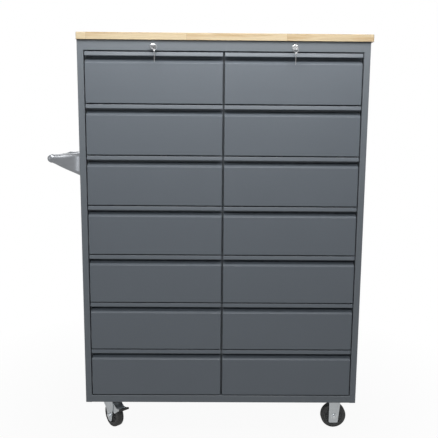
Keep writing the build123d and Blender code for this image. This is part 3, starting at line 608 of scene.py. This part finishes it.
def buildRing(name, centre, body):
    look = keyLook
    verts = []
    for i in range(look["ringSteps"]):
        turn = 2 * math.pi * i / look["ringSteps"]
        for k in range(look["wireSteps"]):
            roll = 2 * math.pi * k / look["wireSteps"]
            reach = look["ringRadius"] + look["wire"] * math.cos(roll)
            offset = (reach * math.cos(turn), look["wire"] * math.sin(roll), reach * math.sin(turn))
            verts.append(centre + Vector(offset))
    faces = bridged(look["ringSteps"], look["wireSteps"], loop=True)
    return meshPiece(name, verts, faces, finishes["key_steel"], body, "key_steel")


def buildKeys(side, across):
    look = keyLook
    bladeLength = max(y for x, y in look["blade"])
    low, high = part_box(f"lock_key_{side}")
    middle = (low + high) / 2
    place = framePlace((middle.x, high.y - bladeLength, middle.z), across, (0, 1, 0))
    key = buildKey(f"key_{side}", look["bow"], look["holeBack"], place, f"key_{side}")
    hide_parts(f"lock_key_{side}")
    # the ring hangs at the top of the spare key's node
    low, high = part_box(f"spare_key_{side}")
    middle = (low + high) / 2
    centre = Vector((middle.x, middle.y, high.z - look["ringRadius"] - look["wire"]))
    ring = buildRing(f"ring_{side}", centre, f"spare_{side}")
    place = framePlace((middle.x, middle.y, low.z + bladeLength), (0, 1, 0), (0, 0, -1))
    spare = buildKey(f"spareKey_{side}", look["spareBow"], look["spareHoleBack"], place, f"spare_{side}")
    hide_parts(f"spare_key_{side}")
    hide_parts(f"spare_key_{side}")


buildKeys("left", (1, 0, 0))
buildKeys("right", (0, 0, 1))
print("keys built")


# Handle brackets: one smooth casting each, with a bolted pad

handleLook = {
    "padWidth": 0.062, "padAbove": 0.033, "padBelow": 0.075,  # from the bar's middle
    "padThickness": 0.003, "padBevel": 0.0008, "padCorner": 0.012,
    # distance from the side, middle below the bar, height, width
    "sections": [
        (0.002, 0.021, 0.101, 0.055), (0.0045, 0.0207, 0.0975, 0.0515), (0.009, 0.0202, 0.093, 0.0465),
        (0.014, 0.0196, 0.0885, 0.042), (0.02, 0.0189, 0.084, 0.038), (0.028, 0.0178, 0.0788, 0.0345),
        (0.038, 0.0164, 0.0735, 0.0318), (0.05, 0.0148, 0.0672, 0.0302), (0.064, 0.0122, 0.0604, 0.0294),
        (0.078, 0.0093, 0.0533, 0.0293), (0.092, 0.0062, 0.046, 0.0295), (0.105, 0.0031, 0.0387, 0.0298),
        (0.114, 0.0013, 0.0338, 0.03), (0.12, 0.0003, 0.0312, 0.0302),
    ],
    # corner radius as a share of the smaller side, up to rootReach and beyond it
    "rootReach": 0.04, "rootCorner": 0.44, "armCorner": 0.5, "cornerSlack": 0.0002, "cornerSteps": 6,
    # around the end of the bar, closed on the far side
    "knuckle": [(tipRadius, -0.0152), (0.008, -0.0148), (0.0115, -0.0134), (0.014, -0.011), (0.0154, -0.008),
                (0.016, -0.0047), (0.016, 0.013), (0.0153, 0.0152), (0.014, 0.017), (0.01262, 0.017),
                (0.01262, 0.006)],
    "knuckleSteps": 56,
}


def roundedRing(width, height, corner):
    ring = []
    steps = handleLook["cornerSteps"]
    for quarter in range(4):
        x = (width / 2 - corner) * (1 if quarter in (0, 3) else -1)
        y = (height / 2 - corner) * (1 if quarter in (0, 1) else -1)
        for k in range(steps + 1):
            turn = math.radians(90 * quarter + 90 * k / steps)
            ring.append((x + corner * math.cos(turn), y + corner * math.sin(turn)))
    return ring


def buildBrackets():
    look = handleLook
    low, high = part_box("handle_brackets")
    bar = middleOf("handle_bar")
    pad = roundedRing(look["padWidth"], look["padAbove"] + look["padBelow"], look["padCorner"])
    padZ = bar.z + (look["padAbove"] - look["padBelow"]) / 2
    parts = []
    for middleY, inward in ((low.y + look["padWidth"] / 2, 1), (high.y - look["padWidth"] / 2, -1)):
        place = framePlace((high.x - look["padThickness"] / 2, middleY, padZ), (0, 1, 0), (0, 0, 1))
        parts.append(prism(pad, look["padThickness"], place, look["padBevel"]))
        verts = []
        for reach, drop, height, width in look["sections"]:
            share = look["armCorner"] if reach > look["rootReach"] else look["rootCorner"]
            ring = roundedRing(width, height, min(width, height) * share - look["cornerSlack"])
            verts += [Vector((high.x - reach, middleY + y, bar.z - drop + z)) for y, z in ring]
        parts.append((verts, capped(len(look["sections"]), len(ring))))
        place = Matrix.Translation((bar.x, middleY, bar.z)) @ Matrix.Scale(inward, 4, (0, 1, 0))
        parts.append(lathe(look["knuckle"], place, look["knuckleSteps"]))
    piece = meshPiece("handleBrackets", *joined(parts), finishes["handle_casting"],
                      "cabinet", "handle_casting")
    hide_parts("handle_brackets")


buildBrackets()
print("handle built")


# Locks: turned bezels with a hex nut behind the rail

lockLook = {
    # radius and distance behind the rail's face
    "barrel": [(0.00608, 0.02), (0.00608, -0.0012), (0.0068, -0.0022), (0.0078, -0.0029), (0.0088, -0.003),
               (0.0102, -0.0025), (0.0108, -0.0016), (0.011, -0.0005), (0.011, 0), (0.0095, 0),
               (0.0095, 0.02), (0.00608, 0.02)],
    "barrelSteps": 56,
    "nutBore": 0.0096, "nutRadius": 0.0145, "nutHalf": 0.0025, "nutFlat": 0.002, "nutChamfer": 0.0006,
    "nutBack": 0.0036, "nutSteps": 48,
}


def lockNut(place):
    look = lockLook
    bore, half, flat = look["nutBore"], look["nutHalf"], look["nutFlat"]
    verts = []
    for i in range(look["nutSteps"]):
        turn = 2 * math.pi * i / look["nutSteps"]
        side = hexReach(look["nutRadius"], turn)
        rim = side - look["nutChamfer"]
        profile = ((bore, -half), (rim, -half), (side, -flat), (side, flat), (rim, half), (bore, half))
        verts += [place @ Vector((r * math.cos(turn), y, r * math.sin(turn))) for r, y in profile]
    return verts, bridged(look["nutSteps"], len(profile), loop=True)


def buildLocks():
    look = lockLook
    low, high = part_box("lock_housings")
    bezel = max(radius for radius, along in look["barrel"])
    rise = -min(along for radius, along in look["barrel"])
    railFace, z = low.y + rise, (low.z + high.z) / 2
    barrels, nuts = [], []
    for x in (low.x + bezel, high.x - bezel):
        barrels.append(lathe(look["barrel"], Matrix.Translation((x, railFace, z)), look["barrelSteps"]))
        nuts.append(lockNut(Matrix.Translation((x, railFace + look["nutBack"], z))))
    piece = meshPiece("lockBarrels", *joined(barrels), finishes["lock_chrome"], "cabinet", "lock_chrome")
    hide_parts("lock_housings")
    meshPiece("lockNuts", *joined(nuts), finishes["zinc_steel"], "cabinet", "zinc_steel", smooth=False)


buildLocks()
print("locks built")


# Caster bolts: washer and chamfered hex head

boltLook = {
    "spread": 0.016,  # corners of the node nearer than this belong to one bolt
    "shank": 0.004, "washer": 0.0085, "washerThickness": 0.0012, "washerSteps": 32,
    "head": 0.0075, "height": 0.0053, "chamfer": 0.0008, "chamferShare": 0.9, "headSteps": 24,
}


def boltCentres():
    verts = nodes["caster_bolts"].data.vertices
    places = {(round(vert.co.x, 4), round(vert.co.y, 4)) for vert in verts}
    bolts = []
    for spot in sorted(places):
        near = [bolt for bolt in bolts if math.dist(bolt[0], spot) < boltLook["spread"]]
        if near:
            near[0].append(spot)
        else:
            bolts.append([spot])
    centres = []
    for bolt in bolts:
        xs, ys = [x for x, y in bolt], [y for x, y in bolt]
        centres.append(((min(xs) + max(xs)) / 2, (min(ys) + max(ys)) / 2))
    return centres


def buildBolts():
    look = boltLook
    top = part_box("caster_bolts")[1].z
    thickness, height, steps = look["washerThickness"], look["height"], look["headSteps"]
    inner, outer = look["shank"], look["washer"]
    washer = [(inner, 0), (outer, 0), (outer, thickness), (inner, thickness)]
    centres = boltCentres()
    parts = []
    for x, y in centres:
        # the washer's local y points down
        place = Matrix.Translation((x, y, top)) @ Matrix.Rotation(math.radians(-90), 4, "X")
        parts.append(lathe(washer, place, look["washerSteps"]))
        verts = []
        for i in range(steps):
            turn = 2 * math.pi * i / steps
            side = hexReach(look["head"], turn)
            rim = min(side, look["head"] * look["chamferShare"])
            shoulder = height - look["chamfer"]
            profile = ((side, thickness), (side, shoulder), (rim, height), (tipRadius, height))
            for r, drop in profile:
                verts.append(Vector((x + r * math.cos(turn), y + r * math.sin(turn), top - drop)))
        parts.append((verts, bridged(steps, len(profile), loop=True, closed=False)))
    piece = meshPiece("casterBolts", *joined(parts), finishes["zinc_steel"], "cabinet", "zinc_steel")
    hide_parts("caster_bolts")
    print("caster bolts:", len(centres))


buildBolts()


# Caster hardware: washer and domed nut on each axle, pressed ribs on the legs of all forks

hardwareLook = {
    "legFace": 0.0215, "headFace": 0.0265,  # from the wheel's middle
    "axle": 0.007, "washer": 0.0115, "washerThickness": 0.0012, "washerSteps": 40,
    "washerEdge": 0.0003, "washerRim": 0.0004,
    "dome": 0.0078, "domeFoot": 0.0005, "domeRise": 0.0048, "domeSteps": 32,
    "domeCurve": [(1, 0.25), (0.9, 0.6), (0.66, 0.85), (0.33, 0.97)],  # shares of its radius and rise
    "ribRise": 0.0024,
    # height above the floor, and x from the kingpin
    "swivelFoot": [(-0.016, 0.1075), (0.03, 0.1075), (0.0425, 0.066), (0.0275, 0.066)],
    "swivelCrest": [(-0.0085, 0.105), (0.0255, 0.105), (0.0375, 0.0695), (0.0315, 0.0695)],
    # the same with x from the axle
    "rigidFoot": [(-0.0142, 0.1215), (0.0202, 0.1215), (0.0088, 0.0615), (-0.0088, 0.0615)],
    "rigidCrest": [(-0.0112, 0.1195), (0.0172, 0.1195), (0.0058, 0.0645), (-0.0058, 0.0645)],
}


def casterPlace(end):
    # x along the caster's trail, y up, z to the side, origin under the kingpin
    kingpin = Vector(joints[f"swivel_{end}"]["pos_m"])
    trail = Vector(joints[f"wheel_{end}_left_spin"]["pos_m"]) - kingpin
    trail.z = 0
    return framePlace((kingpin.x, kingpin.y, 0), trail.normalized(), (0, 0, 1))


def axleFittings(place, way):
    look = hardwareLook
    face, head, dome = look["legFace"], look["headFace"], look["dome"]
    rim = face + look["washerThickness"]
    washer = [(look["axle"], face), (look["washer"], face), (look["washer"], rim - look["washerEdge"]),
              (look["washer"] - look["washerRim"], rim), (look["axle"], rim)]
    nut = [(dome, head - look["domeFoot"])]
    nut += [(dome * radius, head + look["domeRise"] * rise) for radius, rise in look["domeCurve"]]
    nut.append((tipRadius, head + look["domeRise"]))
    return [lathe([(radius, way * along) for radius, along in washer], place, look["washerSteps"]),
            lathe([(radius, way * along) for radius, along in nut], place, look["domeSteps"])]


def buildHardware(corner):
    look = hardwareLook
    end, side = corner.split("_")
    spin = joints[f"wheel_{corner}_spin"]
    if side == "left":
        body, base, foot, crest = f"swivel_{end}", casterPlace(end), look["swivelFoot"], look["swivelCrest"]
    else:
        axle = Vector(spin["pos_m"])
        body, base = "cabinet", framePlace((axle.x, axle.y, 0), (1, 0, 0), (0, 0, 1))
        foot, crest = look["rigidFoot"], look["rigidCrest"]
    nuts, ribs = [], []
    for way in (-1, 1):
        nuts += axleFittings(jointPlace(spin), way)
        turned = base @ Matrix.Translation((0, 0, way * look["legFace"])) @ Matrix.Scale(way, 4, (0, 0, 1))
        ribs.append(frustum(foot, crest, look["ribRise"], turned))
    meshPiece(f"axleNuts_{corner}", *joined(nuts), brightSteel, body, "zinc_steel")
    meshPiece(f"forkRibs_{corner}", *joined(ribs), finishes["zinc_steel"], body, "zinc_steel")


for corner in wheelCorners:
    buildHardware(corner)
print("caster hardware built")


# Brake pedals: folded tongue between two cheeks, rubber on the tip

pedalLook = {
    "halfWidth": 0.0178, "tongueSlack": 0.0002, "cheek": 0.0012, "bevel": 0.0003,
    "padHalf": 0.0188, "padBevel": 0.0008,
    # x ahead of the kingpin and height above the floor
    "tongue": [(0.0442, 0.1032), (0.047, 0.1018), (0.05, 0.1015), (0.0635, 0.099), (0.072, 0.0935),
               (0.08, 0.0885), (0.095, 0.0892), (0.1165, 0.0977), (0.1158, 0.1003), (0.094, 0.0918),
               (0.081, 0.0912), (0.073, 0.0962), (0.064, 0.102), (0.0565, 0.1055), (0.054, 0.1092),
               (0.05, 0.1104), (0.046, 0.1092), (0.0438, 0.106)],
    "cheekOutline": [(0.0442, 0.101), (0.0475, 0.0885), (0.0545, 0.0735), (0.061, 0.0665), (0.068, 0.0665),
                     (0.079, 0.0745), (0.09, 0.083), (0.1, 0.0888), (0.112, 0.0945), (0.112, 0.0985),
                     (0.1, 0.0965), (0.092, 0.0945), (0.082, 0.0945), (0.0735, 0.099), (0.0655, 0.1045),
                     (0.0575, 0.1085), (0.05, 0.1104), (0.0445, 0.107)],
    "pad": [(0.1025, 0.0898), (0.104, 0.0893), (0.1178, 0.0948), (0.1187, 0.096), (0.1172, 0.1015),
            (0.116, 0.1024), (0.1025, 0.0972), (0.1016, 0.096)],
}


def buildPedal(end):
    look = pedalLook
    base = casterPlace(end)
    parts = [prism(look["tongue"], 2 * look["halfWidth"] - look["tongueSlack"], base, look["bevel"])]
    for way in (-1, 1):
        shift = Matrix.Translation((0, 0, way * (look["halfWidth"] - look["cheek"] / 2)))
        parts.append(prism(look["cheekOutline"], look["cheek"], base @ shift, look["bevel"]))
    pedal = meshPiece(f"pedal_{end}", *joined(parts), finishes["zinc_steel"], f"brake_{end}", "zinc_steel")
    pad = meshPiece(f"pedalPad_{end}", *prism(look["pad"], 2 * look["padHalf"], base, look["padBevel"]),
                    pedalRubber, f"brake_{end}", "wheel_tyre")
    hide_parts(f"brake_pedal_{end}")
    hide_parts(f"brake_pedal_{end}")


for end in ("front", "rear"):
    buildPedal(end)
print("brake pedals built")


# Camera, at the place solved from the photograph

cameraLook = {
    "place": (0.0304, -2.402, 1.188), "pitch": 0.1488, "yaw": 0.0091, "roll": 0.008,
    "lens": 48.37, "sensor": 36,
}


def buildCamera():
    look = cameraLook
    data = bpy.data.cameras.new("photoCamera")
    data.lens = look["lens"]
    data.sensor_width = look["sensor"]
    camera = bpy.data.objects.new("photoCamera", data)
    scene.collection.objects.link(camera)
    pitch, yaw, roll = look["pitch"], look["yaw"], look["roll"]
    forward = Vector((math.sin(yaw) * math.cos(pitch), math.cos(yaw) * math.cos(pitch), -math.sin(pitch)))
    right = Vector((math.cos(yaw), -math.sin(yaw), 0))
    up = right.cross(forward)
    rolledRight = right * math.cos(roll) + up * math.sin(roll)
    rolledUp = up * math.cos(roll) - right * math.sin(roll)
    turn = Matrix((rolledRight, rolledUp, -forward)).transposed().to_4x4()
    camera.matrix_world = Matrix.Translation(look["place"]) @ turn
    scene.camera = camera


buildCamera()


# Floor, world and soft lamps

studioLook = {
    "floorSize": 14, "floorColor": (0.38, 0.38, 0.38, 1), "floorRoughness": 0.7,
    "mottleScale": 3.0, "mottleShare": 0.03, "mottleColor": (0.34, 0.34, 0.34, 1),
    "glossyShare": 0.4,  # how much of the white shows in reflections
    # the floor is nearly white at fadeStart from its middle, with shadows, and all white at fadeEnd
    "whiteNear": 0.95, "whiteFar": 1.0, "fadeStart": 0.6, "fadeEnd": 1.5,
    "worldColor": (0.9, 0.94, 1.0, 1), "worldStrength": 0.045,
    "lamps": [
        # name, place, aim, size, power, color
        ("keyLamp", (0.1, -0.88, 2.25), (0.08, -0.05, 1.3), (2.2, 0.4), 20, (1.0, 0.99, 0.97)),
        ("frontLamp", (0.15, -3.2, 2.75), (0.05, 0, 0.8), (2.2, 0.7), 32, (0.96, 0.98, 1.0)),
        ("sideLamp", (-2.3, -1.8, 1.1), (-0.3, 0, 0.9), (0.4, 1.6), 4.2, (0.95, 0.98, 1.0)),
        ("rearLamp", (-2.0, 2.2, 2.6), (0, 0.2, 0.9), (2.0, 2.0), 30, (1.0, 1.0, 1.0)),
        ("rightLamp", (2.6, 1.4, 1.8), (0.6, 0.1, 0.8), (1.0, 2.0), 14, (1.0, 1.0, 1.0)),
    ],
}


def whiteSeen(tree):
    # all of it for the camera, straight or through a clear piece, and a share in reflections
    path = addNode(tree, "ShaderNodeLightPath")
    seen = calc(tree, "MAXIMUM", path.outputs["Is Camera Ray"], path.outputs["Is Transmission Ray"])
    return calc(tree, "MAXIMUM", seen, scaled(tree, path.outputs["Is Glossy Ray"], studioLook["glossyShare"]))


def buildFloor():
    look = studioLook
    bpy.ops.mesh.primitive_plane_add(size=look["floorSize"], location=(0, 0, 0))
    floor = bpy.context.object
    floor.name = "floor"
    material = bpy.data.materials.new("floorPale")
    material.use_nodes = True
    tree = material.node_tree
    shader = tree.nodes["Principled BSDF"]
    mottle = addNode(tree, "ShaderNodeTexNoise", {"Scale": look["mottleScale"], "Detail": 2.0}).outputs["Fac"]
    mottle = scaled(tree, mottle, look["mottleShare"])
    shade = blendColors(tree, mottle, look["floorColor"], look["mottleColor"])
    tree.links.new(shade, shader.inputs["Base Color"])
    shader.inputs["Roughness"].default_value = look["floorRoughness"]
    spot = addNode(tree, "ShaderNodeNewGeometry").outputs["Position"]
    distance = addNode(tree, "ShaderNodeVectorMath", {0: spot}, operation="LENGTH").outputs["Value"]
    far = addNode(tree, "ShaderNodeMapRange", {
        "Value": distance, "From Min": look["fadeStart"], "From Max": look["fadeEnd"],
        "To Min": look["whiteNear"], "To Max": look["whiteFar"]}).outputs[0]
    white = scaled(tree, whiteSeen(tree), far)
    glow = addNode(tree, "ShaderNodeEmission", {"Color": (1, 1, 1, 1), "Strength": 1.0}).outputs[0]
    mix = addNode(tree, "ShaderNodeMixShader", {0: white, 1: shader.outputs[0], 2: glow}).outputs[0]
    tree.links.new(mix, tree.nodes["Material Output"].inputs["Surface"])
    floor.data.materials.append(material)


def buildWorld():
    look = studioLook
    world = bpy.data.worlds.new("studioWorld")
    scene.world = world
    world.use_nodes = True
    tree = world.node_tree
    tree.nodes.clear()
    sky = {"Color": look["worldColor"], "Strength": look["worldStrength"]}
    soft = addNode(tree, "ShaderNodeBackground", sky).outputs[0]
    white = addNode(tree, "ShaderNodeBackground", {"Color": (1, 1, 1, 1), "Strength": 1.0}).outputs[0]
    mix = addNode(tree, "ShaderNodeMixShader", {0: whiteSeen(tree), 1: soft, 2: white}).outputs[0]
    addNode(tree, "ShaderNodeOutputWorld", {"Surface": mix})


def buildLamps():
    for name, place, aim, size, power, color in studioLook["lamps"]:
        data = bpy.data.lights.new(name, "AREA")
        data.shape = "RECTANGLE"
        data.size, data.size_y = size
        data.energy = power
        data.color = color
        lamp = bpy.data.objects.new(name, data)
        scene.collection.objects.link(lamp)
        lamp.location = place
        lamp.rotation_euler = (Vector(aim) - Vector(place)).to_track_quat("-Z", "Y").to_euler()


buildFloor()
buildWorld()
buildLamps()
scene.view_settings.view_transform = "Standard"
print("studio built")
